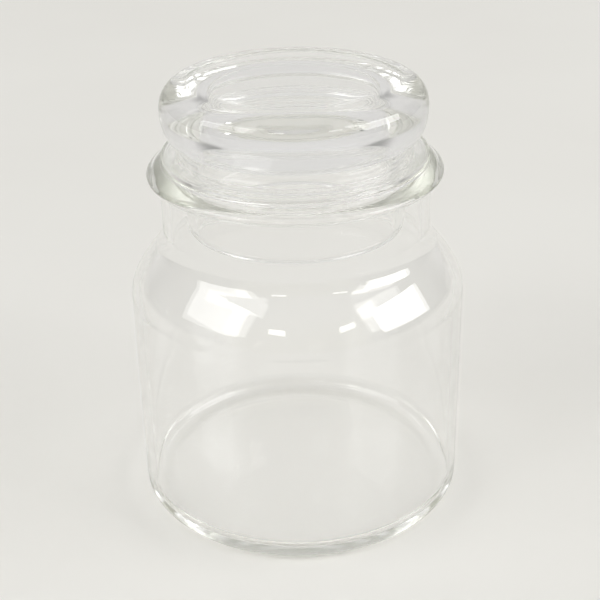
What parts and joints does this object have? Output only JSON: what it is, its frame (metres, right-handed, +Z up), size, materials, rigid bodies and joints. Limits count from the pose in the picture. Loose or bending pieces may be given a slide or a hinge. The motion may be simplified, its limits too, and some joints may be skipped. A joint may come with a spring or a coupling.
{
  "type": "lidded glass jar",
  "caption": "Clear glass storage jar with straight sides, a round shoulder, a beaded rim and a thick flat-topped glass lid that plugs the neck on a soft clear ring.",
  "frame": {"origin": "centre of the foot ring, on the surface the jar stands on", "axes": "+Z up along the jar's axis, out of the mouth; the jar is round, so +X and +Y are any two directions square to it"},
  "size_m": [0.076, 0.076, 0.1],
  "materials": {
    "jar_glass": "clear blown glass, fire polished",
    "lid_glass": "clear pressed glass, fire polished",
    "clear_seal": "soft clear moulded plastic"
  },
  "bodies": {
    "jar": {"jar_body": "jar_glass"},
    "seal": {"sealing_ring": "clear_seal"},
    "lid": {"stopper_lid": "lid_glass"}
  },
  "joints": [
    {"name": "stopper_lift", "type": "slide", "parent": "jar", "child": "seal", "axis": [0, 0, 1], "range_m": [0, 0.06]},
    {"name": "stopper_turn", "type": "hinge", "parent": "seal", "child": "lid", "pos_m": [0, 0, 0.0843], "axis": [0, 0, 1], "continuous": true}
  ]
}
